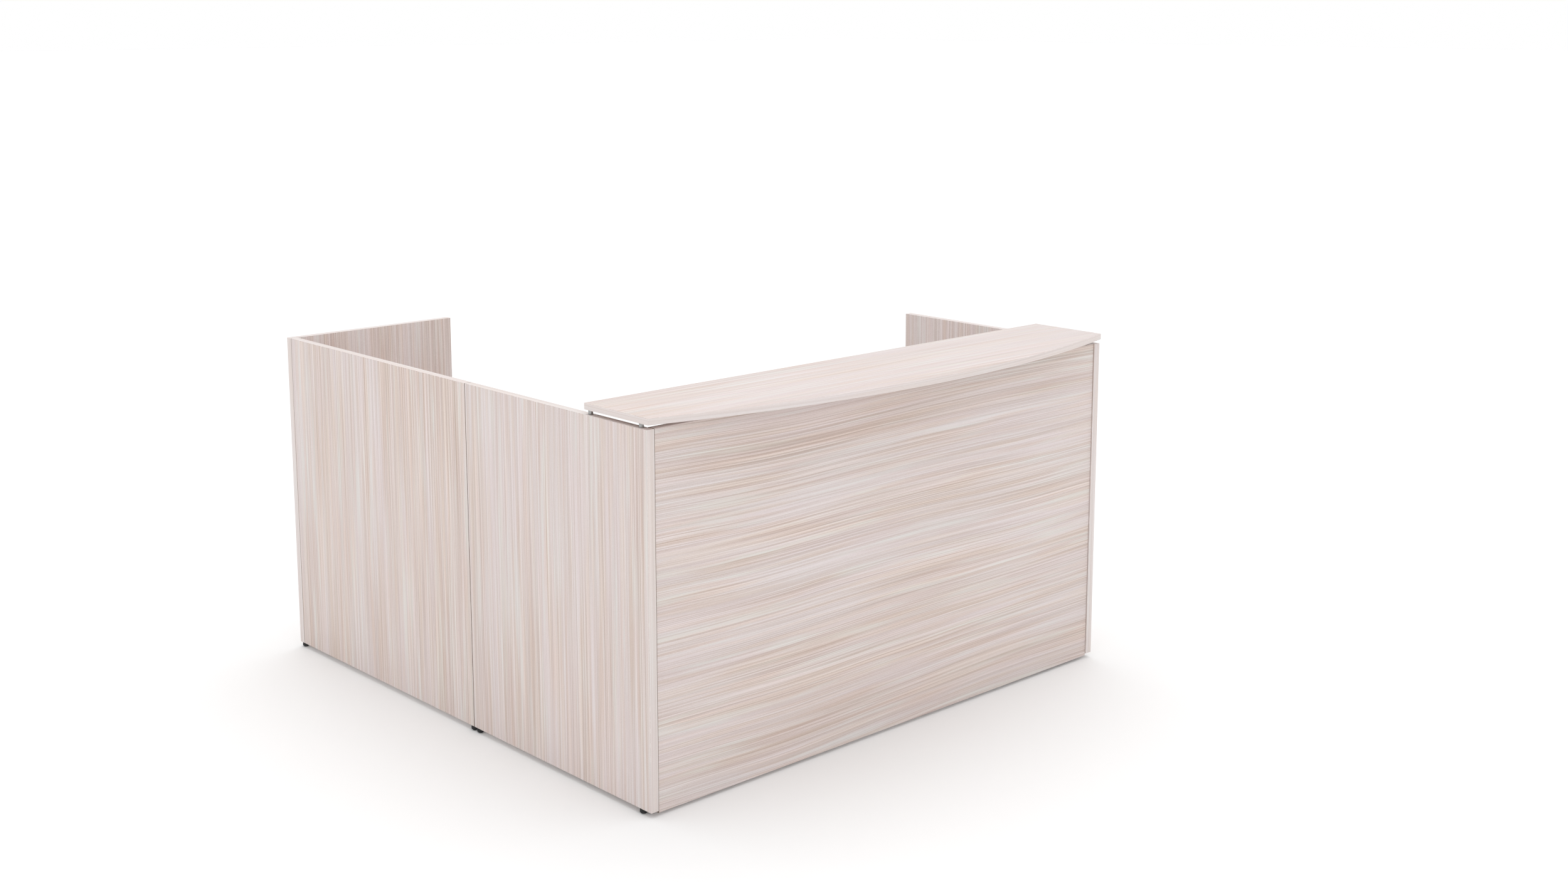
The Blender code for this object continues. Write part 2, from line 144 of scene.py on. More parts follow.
# ---- Laminate -----------------------------------------------------------------------
GRAIN_DARK = linear(190, 175, 170)
GRAIN_LIGHT = linear(231, 223, 223)
TAN_TINT = (0.995, 0.932, 0.850, 1.0)
PINK_TINT = (1.000, 0.980, 0.985, 1.0)
PALE_STREAK = linear(220, 225, 220)
EDGE_BAND = linear(225, 218, 216)
BAND_LINE = linear(150, 136, 128)
WORN = linear(238, 232, 228)
# Dark core colours: shown on unbanded edges in seams, and also painted as shade on those seam
# edges, their bevels and a thin face band beside some joints.
CORE_AND_SEAM_SHADE_DARK, CORE_AND_SEAM_SHADE_LIGHT = linear(58, 46, 36), linear(122, 102, 82)
# Distances from a board's edge: the glue line's two soft sides, and how far wear reaches.
GLUE_STARTS, GLUE_ENDS, WEAR_REACH = (0.0012, 0.0014), (0.0015, 0.0018), 0.0022
EDGE_SHIFT = 0.37             # sets the grain of an edge apart from that of the face
ALONG_AXIS, BARE_EDGE_AND_SHADE_LEAN = 0.7, 0.45     # normals: square to an axis, turned to an unbanded edge; the lean also takes in part of the bevel, which is painted dark as shade in the seam


def make_woodgrain():
    """The woodgrain print that every laminated board shares, as a node group."""
    group = bpy.data.node_groups.new("woodgrain", "ShaderNodeTree")
    for name in ("Cross", "Along", "Seed", "Waviness", "Contrast", "Face", "Edge"):
        group.interface.new_socket(name=name, in_out="INPUT", socket_type="NodeSocketFloat")
    group.interface.new_socket(name="Place", in_out="INPUT", socket_type="NodeSocketVector")
    group.interface.new_socket(name="Color", in_out="OUTPUT", socket_type="NodeSocketColor")
    for name in ("Roughness", "Height"):
        group.interface.new_socket(name=name, in_out="OUTPUT", socket_type="NodeSocketFloat")
    nodes = Nodes(group)
    given = nodes.add("NodeGroupInput", {}).outputs
    seed, along, contrast = given["Seed"], given["Along"], given["Contrast"]

    # The grain wanders slowly, with a small ripple on top.
    wander = nodes.streaks(given["Cross"], along, seed, 0.9, 0.55)
    ripple = nodes.streaks(given["Cross"], along, seed, 9.0, 2.2)
    bend = nodes.total(nodes.around(wander, 0.10), nodes.around(ripple, 0.006))
    cross = nodes.total(given["Cross"], nodes.math("MULTIPLY", bend, given["Waviness"]))

    def layer(number, per_metre, drawn_out, detail=1.0, roughness=0.75):
        return nodes.streaks(cross, along, nodes.total(seed, number), per_metre, drawn_out,
                             detail, roughness)

    warm = nodes.step(layer(11.4, 12.0, 0.9), 0.40, 0.64)
    bands = layer(19.6, 20.0, 0.50, 1.6)
    streaks = layer(23.3, 105.0, 0.85)
    comb = nodes.step(layer(31.3, 165.0, 0.8), 0.38, 0.62)
    lines = nodes.step(layer(37.7, 380.0, 1.3), 0.34, 0.66)
    fibre = layer(41.5, 1300.0, 30.0)
    grit = nodes.noise(given["Place"], 340.0, 2.0, 0.8)
    drawn = nodes.math("MULTIPLY", nodes.total(nodes.around(comb, 0.21), nodes.around(lines, 0.54)),
                       nodes.total(0.75, nodes.math("MULTIPLY", warm, 0.45)))
    tone = nodes.total(nodes.around(bands, 0.14), nodes.around(streaks, 0.12), drawn,
                       nodes.around(fibre, 0.30), nodes.around(grit, 0.58),
                       nodes.math("MULTIPLY", warm, -0.06))
    tone = nodes.total(0.55, nodes.math("MULTIPLY", tone, contrast))
    colour = nodes.blend(tone, GRAIN_DARK, GRAIN_LIGHT)

    tan = nodes.math("MULTIPLY", nodes.step(layer(53.2, 55.0, 2.0), 0.44, 0.66), 0.54)
    tan = nodes.total(tan, nodes.math("MULTIPLY", warm, 0.45),
                      nodes.math("MULTIPLY", nodes.math("SUBTRACT", 1.0, lines), 0.26))
    colour = nodes.blend(nodes.math("MULTIPLY", tan, contrast), colour, TAN_TINT, "MULTIPLY")
    pink = nodes.step(layer(83.1, 32.0, 1.8), 0.42, 0.60)
    colour = nodes.blend(pink, colour, PINK_TINT, "MULTIPLY")
    pale = nodes.step(layer(71.8, 30.0, 1.8, 2.0), 0.50, 0.70, 0.0, 0.45)
    pale = nodes.math("MULTIPLY", pale, nodes.total(0.40, nodes.math("MULTIPLY", lines, 0.60)))
    colour = nodes.blend(nodes.math("MULTIPLY", pale, contrast), colour, PALE_STREAK)

    # Edges: a slightly lighter band, its glue line on the face, and a little wear.
    on_edge = nodes.math("SUBTRACT", 1.0, given["Face"])
    colour = nodes.blend(nodes.math("MULTIPLY", on_edge, 0.45), colour, EDGE_BAND)
    glue = nodes.math("SUBTRACT", nodes.step(given["Edge"], *GLUE_STARTS),
                      nodes.step(given["Edge"], *GLUE_ENDS))
    glue = nodes.math("MULTIPLY", nodes.math("MULTIPLY", glue, given["Face"]), 0.28)
    colour = nodes.blend(glue, colour, BAND_LINE)
    worn = nodes.math("MULTIPLY", nodes.step(given["Edge"], 0.0, WEAR_REACH, 1.0, 0.0),
                      nodes.step(nodes.noise(given["Place"], 42.0, 3.0, 0.6), 0.50, 0.66))
    colour = nodes.blend(nodes.math("MULTIPLY", worn, 0.55), colour, WORN)

    handled = nodes.noise(given["Place"], 3.2, 3.0, 0.55)
    roughness = nodes.total(0.47, nodes.around(streaks, 0.10), nodes.around(fibre, 0.16),
                            nodes.around(handled, 0.16), nodes.math("MULTIPLY", worn, 0.12))
    height = nodes.total(nodes.math("MULTIPLY", lines, 0.45), fibre,
                         nodes.math("MULTIPLY", glue, -1.6))
    nodes.add("NodeGroupOutput", {"Color": colour, "Roughness": roughness, "Height": height})
    return group


WOODGRAIN = make_woodgrain()


def laminate(name, grain, thin, seed, waviness=0.3, contrast=1.0, bow=None, seam_core_and_shade=()):
    """The laminate of one board, with its grain along one axis and its thickness along another.

    bow is the radius and centre height along Y of a curved front edge. The edge list gives the
    edges that face a seam or a joint, each as an axis, the sense along it and how far the dark core
    colour reaches onto the face. These edges show the core, partly as unbanded board and partly as
    painted shade that darkens the seam; the reach onto the face is painted shade beside the joint.
    """
    low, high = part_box(name)
    centre, half = (low + high) / 2, (high - low) / 2
    cross = 3 - grain - thin
    material, nodes, shader = new_material("laminate_" + name, 0.47)
    coordinates = nodes.add("ShaderNodeTexCoord", {}).outputs
    place = nodes.split(coordinates["Object"])
    normal = nodes.split(coordinates["Normal"])
    offset = [nodes.math("SUBTRACT", place[i], centre[i]) for i in range(3)]
    facing = [nodes.math("GREATER_THAN", nodes.math("ABSOLUTE", value), ALONG_AXIS)
              for value in normal]
    margin = [nodes.math("SUBTRACT", half[i], nodes.math("ABSOLUTE", offset[i]))
              for i in range(3)]
    if bow:
        reach = nodes.math("SQRT", nodes.total(
            nodes.math("MULTIPLY", place[0], place[0]),
            nodes.math("POWER", nodes.math("SUBTRACT", place[1], bow[1]), 2.0)))
        margin[1] = nodes.math("MINIMUM", nodes.math("SUBTRACT", high.y, place[1]),
                               nodes.math("ABSOLUTE", nodes.math("SUBTRACT", bow[0], reach)))
    nearest = nodes.math("MINIMUM", margin[0], margin[1])
    farther = nodes.math("MAXIMUM", margin[0], margin[1])
    edge = nodes.math("MAXIMUM", nearest, nodes.math("MINIMUM", farther, margin[2]))

    # The two faces, then the long edges, then the end edges, each with its own run of grain.
    face, long_edge = facing[thin], facing[cross]
    across = nodes.pick(face, nodes.total(offset[thin], EDGE_SHIFT), offset[cross])
    along = nodes.pick(nodes.math("MAXIMUM", face, long_edge), offset[cross], offset[grain])
    grain_node = nodes.add("ShaderNodeGroup", {}, node_tree=WOODGRAIN)
    for key, value in {"Cross": across, "Along": along, "Face": face, "Edge": edge,
                       "Place": coordinates["Object"]}.items():
        nodes.tree.links.new(value, grain_node.inputs[key])
    for key, value in {"Seed": seed, "Waviness": waviness, "Contrast": contrast}.items():
        grain_node.inputs[key].default_value = value
    out = grain_node.outputs
    colour = out["Color"]
    # Painted shade: the dark core colour on edges turned to a seam, on part of their bevels and on
    # a thin band of the face beside a joint darkens where shade falls; only the edge faces
    # themselves are real unbanded core.
    for axis, sense, shade_band_reach in seam_core_and_shade:
        turned = nodes.math("MULTIPLY", normal[axis], sense)
        reached = nodes.math("MULTIPLY", offset[axis], sense)
        core_and_shade_mask = nodes.math("MAXIMUM", nodes.math("GREATER_THAN", turned, BARE_EDGE_AND_SHADE_LEAN),
                          nodes.math("GREATER_THAN", reached, half[axis] - shade_band_reach))
        chips = nodes.noise(coordinates["Object"], 420.0, 3.0, 0.7)
        colour = nodes.blend(core_and_shade_mask, colour, nodes.blend(chips, CORE_AND_SEAM_SHADE_DARK, CORE_AND_SEAM_SHADE_LIGHT))
    connect(nodes, shader, colour, out["Roughness"], out["Height"], 0.00012, 0.5)
    return material


# ---- Softened edges on the model's own boards ----------------------------------------
def make_shading_group():
    """Smooth shading, except across edges sharper than a limit."""
    group = bpy.data.node_groups.new("shade_by_angle", "GeometryNodeTree")
    for way in ("INPUT", "OUTPUT"):
        group.interface.new_socket(name="Geometry", in_out=way,
                                   socket_type="NodeSocketGeometry")
    nodes = Nodes(group)
    given = nodes.add("NodeGroupInput", {})
    smooth = nodes.add("GeometryNodeSetShadeSmooth", {0: given.outputs[0], 2: True},
                       domain="FACE")
    angle = nodes.add("GeometryNodeInputMeshEdgeAngle", {}).outputs[0]
    sharp = nodes.add("FunctionNodeCompare", {0: angle, 1: SHARP},
                      data_type="FLOAT", operation="GREATER_THAN").outputs[0]
    crease = nodes.add("GeometryNodeSetShadeSmooth", {0: smooth.outputs[0], 1: sharp, 2: False},
                       domain="EDGE")
    nodes.add("NodeGroupOutput", {0: crease.outputs[0]})
    return group


SHADING = make_shading_group()


def soften(name, width=0.0009, segments=2):
    """Round the edges of a CAD node with modifiers; its mesh is left as it is."""
    node = NODES[name]
    weld = node.modifiers.new("weld", "WELD")
    weld.merge_threshold = 0.00002
    flat = node.modifiers.new("flat", "DECIMATE")
    flat.decimate_type = "DISSOLVE"
    flat.angle_limit = math.radians(0.2)
    bevel = node.modifiers.new("bevel", "BEVEL")
    bevel.width = width
    bevel.segments = segments
    bevel.limit_method = "ANGLE"
    bevel.angle_limit = SHARP
    shade = node.modifiers.new("shade", "NODES")
    shade.node_group = SHADING


def dress(name, material):
    """Give a CAD node its finished material."""
    slots = NODES[name].material_slots
    for slot in slots:
        slot.link = "OBJECT"
        slot.material = material


BOW_RISE = 0.130              # of the transaction top's front arc
top_low, top_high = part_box("transaction_top")
BOW_HALF = top_high.x
BOW_RADIUS = (BOW_HALF ** 2 + BOW_RISE ** 2) / (2 * BOW_RISE)
BOW_CENTRE = top_low.y + BOW_RADIUS

# Board, axis of its grain, axis of its thickness, seed, waviness, contrast.
BOARDS = {
    "front_panel": (0, 1, 3.1, 1.0, 0.96),
    "left_end_panel": (2, 0, 7.7, 0.10, 0.88),
    "right_end_panel": (2, 0, 12.9, 0.10, 1.0),
    "return_side_panel": (2, 0, 17.3, 0.10, 1.0),
    "return_end_panel": (2, 1, 21.9, 0.10, 0.9),
    "transaction_top": (0, 2, 26.4, 0.35, 0.8),
    "desk_worktop": (0, 2, 31.2, 0.6, 1.0),
    "return_worktop": (1, 2, 36.8, 0.5, 1.0),
    "pedestal_left_side": (2, 0, 41.5, 0.25, 1.0),
    "pedestal_right_side": (2, 0, 46.1, 0.25, 1.0),
    "pedestal_bottom": (0, 2, 51.7, 0.3, 1.0),
    "pedestal_top": (0, 2, 56.3, 0.3, 1.0),
    "pedestal_back": (2, 1, 61.9, 0.3, 1.0),
    "box_drawer_front": (2, 1, 66.5, 0.3, 1.0),
    "file_drawer_front": (2, 1, 66.5, 0.3, 1.0),
}
# Edges that face a seam or a joint, in the dark core colour: partly unbanded board, partly painted
# shade that darkens the seam; a reach above zero paints a thin band of shade onto the face beside
# the joint. Columns: axis, sense, and the core colour's reach on the face.
SEAM_CORE_AND_SHADE_EDGES = {
    "left_end_panel": [(1, 1, 0.0)],
    "return_side_panel": [(1, -1, 0.0), (1, 1, 0.0019)],
    "front_panel": [(0, -1, 0.0022), (0, 1, 0.0)],
}
for board, (grain, thin, seed, waviness, contrast) in BOARDS.items():
    bow = (BOW_RADIUS, BOW_CENTRE) if board == "transaction_top" else None
    seam_core_and_shade = SEAM_CORE_AND_SHADE_EDGES.get(board, ())
    dress(board, laminate(board, grain, thin, seed, waviness, contrast, bow, seam_core_and_shade))
    soften(board)


# ---- Finishes of the hardware -------------------------------------------------------
def place_of(nodes):
    return nodes.add("ShaderNodeTexCoord", {}).outputs["Object"]


def satin_metal():
    """Turned and brushed metal, with fine lines round it and a few handling marks."""
    material, nodes, shader = new_material("satin_metal", 0.30, 1.0)
    place = place_of(nodes)
    stretched = nodes.add("ShaderNodeVectorMath", {0: place, 1: (260, 260, 3200)},
                          operation="MULTIPLY").outputs[0]
    brushed = nodes.noise(stretched, 1.0, 2.0, 0.7)
    marks = nodes.noise(place, 95.0, 3.0, 0.6)
    colour = nodes.blend(nodes.total(nodes.around(brushed, 0.7), marks),
                         (0.27, 0.27, 0.265, 1.0), (0.50, 0.495, 0.485, 1.0))
    roughness = nodes.total(0.30, nodes.around(brushed, 0.22), nodes.around(marks, 0.20))
    connect(nodes, shader, colour, roughness, brushed, 0.00005, 0.35)
    return material


def zinc_steel():
    """Bright zinc on folded sheet: faint spangles, cloudy patches and a fine pitting."""
    material, nodes, shader = new_material("zinc_steel", 0.38, 1.0)
    place = place_of(nodes)
    spangle = nodes.add("ShaderNodeTexVoronoi", {"Vector": place, "Scale": 210.0},
                        feature="F1").outputs["Color"]
    spangle = nodes.split(spangle)[0]
    cloud = nodes.noise(place, 26.0, 4.0, 0.6)
    pitting = nodes.noise(place, 900.0, 2.0, 0.6)
    shade = nodes.total(nodes.around(spangle, 0.35), nodes.around(pitting, 0.3), cloud)
    colour = nodes.blend(shade, (0.36, 0.37, 0.385, 1.0), (0.68, 0.685, 0.68, 1.0))
    roughness = nodes.total(0.37, nodes.around(spangle, 0.10), nodes.around(cloud, 0.30))
    connect(nodes, shader, colour, roughness, pitting, 0.00006, 0.4)
    return material


def moulded_plastic(name, dark, light, roughness, pebble):
    """Moulded plastic with a fine spark-eroded texture and slightly polished high spots."""
    material, nodes, shader = new_material(name, roughness)
    place = place_of(nodes)
    texture = nodes.noise(place, pebble, 2.0, 0.65)
    rubbed = nodes.noise(place, 70.0, 3.0, 0.6)
    colour = nodes.blend(nodes.total(nodes.around(texture, 0.5), rubbed), dark, light)
    vary = nodes.total(roughness, nodes.around(texture, 0.18), nodes.around(rubbed, -0.25))
    connect(nodes, shader, colour, vary, texture, 0.00009, 0.55)
    return material


def drawer_board():
    """White melamine board: an orange-peel face with a few grey flecks and a cut edge."""
    material, nodes, shader = new_material("drawer_board", 0.42)
    place = place_of(nodes)
    peel = nodes.noise(place, 480.0, 2.0, 0.6)
    fleck = nodes.step(nodes.noise(place, 260.0, 2.0, 0.7), 0.64, 0.72, 0.0, 0.30)
    cloud = nodes.noise(place, 5.0, 3.0, 0.55)
    colour = nodes.blend(cloud, (0.66, 0.645, 0.62, 1.0), (0.74, 0.73, 0.71, 1.0))
    colour = nodes.blend(fleck, colour, (0.44, 0.42, 0.40, 1.0))
    roughness = nodes.total(0.42, nodes.around(peel, 0.15), nodes.around(cloud, 0.20))
    connect(nodes, shader, colour, roughness, peel, 0.0001, 0.45)
    return material


FINISHES = {
    "satin_metal": satin_metal(),
    "zinc_steel": zinc_steel(),
    "black_plastic": moulded_plastic("black_plastic", (0.005, 0.005, 0.0055, 1.0),
                                     (0.019, 0.019, 0.020, 1.0), 0.52, 1300.0),
    "grommet_plastic": moulded_plastic("grommet_plastic", (0.43, 0.385, 0.36, 1.0),
                                       (0.56, 0.51, 0.485, 1.0), 0.44, 1100.0),
    "drawer_board": drawer_board(),
}
for name, slot in SLOTS.items():
    if slot in FINISHES:
        dress(name, FINISHES[slot])


# ---- Shape helpers ------------------------------------------------------------------
class Shape:
    """A mesh being made in place."""

    def __init__(self):
        self.form = bmesh.new()

    def turned(self, profile, base, axis=Z, segments=32):
        """Turn a profile round an axis.

        A profile point is (radius, height) or (radius, height, outline), where outline gives
        the radius at an angle from the plain one. Its first and last points close the shape.
        """
        turn = axis.to_track_quat("Z", "Y").to_matrix()
        rings = []
        for point in profile:
            radius, height = point[:2]
            outline = point[2] if len(point) > 2 else None
            if radius == 0:
                rings.append([self.form.verts.new(base + turn @ Vector((0, 0, height)))])
                continue
            ring = []
            for i in range(segments):
                angle = 2 * math.pi * i / segments
                reach = outline(angle, radius) if outline else radius
                ring.append(self.form.verts.new(base + turn @ Vector(
                    (reach * math.cos(angle), reach * math.sin(angle), height))))
            rings.append(ring)
        for lower, upper in zip(rings, rings[1:]):
            for i in range(segments):
                j = (i + 1) % segments
                corners = [lower[i % len(lower)], lower[j % len(lower)],
                           upper[j % len(upper)], upper[i % len(upper)]]
                self.form.faces.new(list(dict.fromkeys(corners)))

    def cuboid(self, low, high):
        low, high = Vector(low), Vector(high)
        size = Matrix.Diagonal((*(high - low), 1.0))
        bmesh.ops.create_cube(self.form, size=1.0,
                              matrix=Matrix.Translation((low + high) / 2) @ size)

    def prism(self, outline, offset):
        """Extrude a flat outline of points by an offset."""
        near = [self.form.verts.new(point) for point in outline]
        far = [self.form.verts.new(Vector(point) + Vector(offset)) for point in outline]
        self.form.faces.new(near[::-1])
        self.form.faces.new(far)
        for i in range(len(near)):
            j = (i + 1) % len(near)
            self.form.faces.new((near[i], near[j], far[j], far[i]))

    def tube(self, path, radius, side, segments=20):
        """A round bar along a flat path. side is square to the path's plane."""
        rings = []
        for i, point in enumerate(path):
            ahead = path[min(i + 1, len(path) - 1)] - path[max(i - 1, 0)]
            across = ahead.normalized().cross(side).normalized()
            rings.append([self.form.verts.new(
                point + radius * (math.cos(a) * across + math.sin(a) * side))
                for a in (2 * math.pi * k / segments for k in range(segments))])
        for lower, upper in zip(rings, rings[1:]):
            for i in range(segments):
                j = (i + 1) % segments
                self.form.faces.new((lower[i], lower[j], upper[j], upper[i]))
        self.form.faces.new(rings[0][::-1])
        self.form.faces.new(rings[-1])

    def finish(self, name, slot, body, replaces=None, bevel=0.0):
        """Make the piece: link it, give it its finish and let it ride on a body."""
        bmesh.ops.recalc_face_normals(self.form, faces=self.form.faces[:])
        mesh = bpy.data.meshes.new(name)
        self.form.to_mesh(mesh)
        self.form.free()
        piece = bpy.data.objects.new(name, mesh)
        bpy.context.scene.collection.objects.link(piece)
        mesh.materials.append(FINISHES[slot])
        if bevel:
            modifier = piece.modifiers.new("bevel", "BEVEL")
            modifier.width = bevel
            modifier.segments = 2
            modifier.limit_method = "ANGLE"
            modifier.angle_limit = SHARP
        piece.modifiers.new("shade", "NODES").node_group = SHADING
        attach(piece, body)
        if replaces:
            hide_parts(replaces)
        return piece


def hexagon(angle, flat):
    """Outline of a hexagon by half its width across flats."""
    return flat / math.cos((angle + math.pi / 6) % (math.pi / 3) - math.pi / 6)


def fluted(count, depth):
    return lambda angle, radius: radius - depth * (0.5 - 0.5 * math.cos(count * angle))


def crossed(angle, reach):
    """Outline of a cross recess."""
    arm = abs((angle + math.pi / 4) % (math.pi / 2) - math.pi / 4)
    return min(reach, 0.21 * reach / max(math.sin(arm), 0.01))


def slotted(angle, reach):
    """Outline of a narrow slot."""
    return min(reach / max(abs(math.cos(angle)), 0.01),
               0.22 * reach / max(abs(math.sin(angle)), 0.01))


def pan_screw(shape, spot, out, radius=0.0038):
    """A pan-head screw with a cross recess, its seat at spot."""
    rise = 0.55 * radius
    shape.turned([(0, 0), (radius, 0), (radius, 0.35 * rise), (0.88 * radius, 0.75 * rise),
                  (0.62 * radius, rise), (0.56 * radius, rise, crossed),
                  (0.40 * radius, 0.45 * rise, crossed), (0, 0.30 * rise)],
                 Vector(spot), out, 24)


def rounded_bar(right, left, radius, along):
    """Outline of a flat bar with round ends: their centres, and the axis square to X."""
    outline = []
    for centre, start in ((right, -90), (left, 90)):
        for i in range(9):
            angle = math.radians(start + 22.5 * i)
            outline.append(centre + radius * (math.cos(angle) * X + math.sin(angle) * along))
    return outline


def spread(start, end, count):
    """Evenly spaced values, from start to end."""
    return [start + (end - start) * i / (count - 1) for i in range(count)]


# ---- Feet and standoffs --------------------------------------------------------------
def build_feet():
    """Fluted nylon glides on threaded steel stems."""
    for name in sorted(node for node in NODES if node.startswith("foot_")):
        low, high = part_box(name)
        base = Vector(((low.x + high.x) / 2, (low.y + high.y) / 2, 0.0))
        radius, pad = (high.x - low.x) / 2, 0.0157
        grip = fluted(20, 0.0009)
        glide = Shape()
        glide.turned([(0, 0.0004), (radius - 0.0052, 0.0004), (radius - 0.0046, 0),
                      (radius - 0.0036, 0.0003), (radius - 0.0006, 0.0033),
                      (radius - 0.0003, 0.0040), (radius, 0.0046, grip),
                      (radius, 0.0118, grip), (radius - 0.0004, 0.0124),
                      (radius - 0.0018, 0.0131), (0.0078, 0.0133), (0.0078, 0.0133, hexagon),
                      (0.0078, 0.0152, hexagon), (0.0073, pad, hexagon), (0.0044, pad),
                      (0.0044, 0.0146), (0, 0.0146)], base, segments=120)
        glide.finish(name + "_glide", "black_plastic", name + "_screw", replaces=name)
        stem, pitch = Shape(), 0.00125
        profile, height = [(0, 0.0147), (0.0034, 0.0147)], 0.0150
        while height < high.z - 2 * pitch:
            profile += [(0.0034, height), (0.0040, height + 0.45 * pitch)]
            height += pitch
        profile += [(0.0034, height), (0.0034, high.z - 0.0008), (0.0028, high.z), (0, high.z)]
        stem.turned(profile, base, segments=20)
        stem.finish(name + "_stem", "zinc_steel", name + "_screw")


def build_standoffs():
    """Turned barrels with two fine grooves and a collar at each end."""
    for name in sorted(node for node in NODES if node.startswith("standoff_")):
        low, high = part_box(name)
        radius, rise = (high.x - low.x) / 2, high.z - low.z
        barrel, waist = radius - 0.0006, radius - 0.0011
        half = [(0, 0), (radius - 0.0004, 0), (radius, 0.0004), (radius, 0.0016),
                (radius - 0.0003, 0.0019), (waist, 0.0020), (waist, 0.0026), (barrel, 0.0028)]
        profile = half + [(r, rise - h) for r, h in reversed(half)]
        shape = Shape()
        shape.turned(profile, Vector(((low.x + high.x) / 2, (low.y + high.y) / 2, low.z)),
                     segments=48)
        shape.finish(name + "_barrel", "satin_metal", "counter", replaces=name)


# ---- Screws on the clerk's side -------------------------------------------------------
def build_bracket_screws():
    """Screws in both legs of every angle, and in the flat plates."""
    inset, stagger = 0.019, 0.012     # from the fold; between the two legs' screws
    for name in ("front_corner_angle_left", "front_corner_angle_right",
                 "return_corner_angle"):
        low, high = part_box(name)
        x_way = -1 if name.endswith("right") else 1
        y_way = -1 if name.startswith("return") else 1
        x, y = (low.x if x_way > 0 else high.x), (low.y if y_way > 0 else high.y)
        shape = Shape()
        for z in spread(low.z + 0.035, high.z - 0.035, 4):
            pan_screw(shape, (x + x_way * inset, y + y_way * STEEL, z), y_way * Y)
            pan_screw(shape, (x + x_way * STEEL, y + y_way * inset, z + stagger), x_way * X)
        shape.finish(name + "_screws", "zinc_steel", "counter")
    for name, along, way, count in (
            ("desk_angle_left", 1, 1, 5), ("desk_angle_front", 0, 1, 8),
            ("return_angle_side", 1, 1, 5), ("return_angle_end", 0, -1, 3)):
        low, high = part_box(name)
        across = 1 - along
        wall = low[across] if way > 0 else high[across]
        shape = Shape()
        for value in spread(low[along] + 0.030, high[along] - 0.030, count):
            spot = Vector((0, 0, high.z - inset))
            spot[along], spot[across] = value, wall + way * STEEL
            pan_screw(shape, spot, way * (Y, X)[along])
            spot[along], spot[across] = value + stagger, wall + way * inset
            spot.z = high.z - STEEL
            pan_screw(shape, spot, -Z)
        shape.finish(name + "_screws", "zinc_steel", "counter")
    for name in ("return_joint_plate_lower", "return_joint_plate_upper"):
        low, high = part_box(name)
        shape = Shape()
        for y in (low.y + 0.014, low.y + 0.028, high.y - 0.028, high.y - 0.014):
            for z in (low.z + 0.016, high.z - 0.016):
                pan_screw(shape, (high.x, y, z), X)
        shape.finish(name + "_screws", "zinc_steel", "counter")
    low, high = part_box("worktop_splice_plate")
    shape = Shape()
    for x in spread(low.x + 0.020, high.x - 0.020, 4):
        for y in (low.y + 0.016, high.y - 0.016):
            pan_screw(shape, (x, y, low.z), -Z)
    shape.finish("worktop_splice_screws", "zinc_steel", "counter")


# ---- Cable ports ----------------------------------------------------------------------
def build_cap_grips():
    """A low bar on each cable cap, to turn it by."""
    for side in ("left", "right"):
        low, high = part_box("cable_cap_" + side)
        half, radius, rise, off_centre, sunk = 0.019, 0.0032, 0.0022, 0.009, 0.0003
        middle = Vector(((low.x + high.x) / 2, low.y + (high.x - low.x) / 2 - off_centre,
                         high.z - sunk))
        reach = (half - radius) * X
        shape = Shape()
        shape.prism(rounded_bar(middle + reach, middle - reach, radius, Y), (0, 0, rise))
        shape.finish("cable_cap_%s_grip" % side, "grommet_plastic",
                     "cable_cap_%s_turning" % side, bevel=0.0007)


# ---- Drawer hardware ------------------------------------------------------------------
def build_pulls():
    """Arched bar pulls, each on two turned roses."""
    for kind in ("box", "file"):
        low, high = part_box(kind + "_drawer_pull")
        radius, bend = (high.z - low.z) / 2, 0.014
        z, base, crown = (low.z + high.z) / 2, low.y, high.y - radius
        left, right = low.x + radius, high.x - radius
        path = [Vector((left, base, z)), Vector((left, crown - bend, z))]
        for i in range(1, 13):
            angle = math.pi / 2 * i / 12
            path.append(Vector((left + bend * (1 - math.cos(angle)),
                                crown - bend + bend * math.sin(angle), z)))
        path += [Vector((left + right - point.x, point.y, z)) for point in reversed(path)]
        shape = Shape()
        shape.tube(path, radius, Z, 28)
        for x in (left, right):
            shape.turned([(0, 0), (0.0080, 0), (0.0080, 0.0012), (0.0074, 0.0019),
                          (radius + 0.0008, 0.0022), (radius + 0.0001, 0.0030), (0, 0.0030)],
                         Vector((x, base, z)), Y, 40)
        shape.finish(kind + "_drawer_bar_pull", "satin_metal", kind + "_drawer",
                     replaces=kind + "_drawer_pull")


def build_lock():
    """A cam lock: bezel, plug with a key slot, barrel, nut and cam."""
    low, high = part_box("drawer_lock")
    radius = (high.z - low.z) / 2
    centre = Vector((low.x + radius, 0, (low.z + high.z) / 2))
    face = high.y
    shape = Shape()
    shape.turned([(0, -0.0345), (0.0080, -0.0345), (0.0080, -0.0026), (radius, -0.0022),
                  (radius, -0.0012), (radius - 0.0012, 0), (0.0068, 0), (0.0066, -0.0007),
                  (0.0063, -0.0007), (0.0060, -0.0002), (0.0036, -0.0002),
                  (0.0031, -0.0002, slotted), (0.0030, -0.0030, slotted), (0, -0.0030)],
                 centre + face * Y, Y, 48)
    shape.finish("drawer_lock_cylinder", "satin_metal", "lock", replaces="drawer_lock")
    half, thick, nut = 0.005, 0.0028, 0.001
    root = centre + (low.y + nut) * Y
    tip = root + (high.x - centre.x - half) * X
    cam = Shape()
    cam.prism(rounded_bar(tip, root, half, Z), (0, thick, 0))
    cam.turned([(0, 0), (0.0036, 0, hexagon), (0.0040, 0.0004, hexagon),
                (0.0040, nut, hexagon), (0, nut)], centre + low.y * Y, Y, 48)
    cam.finish("drawer_lock_cam", "satin_metal", "lock", bevel=0.0003)


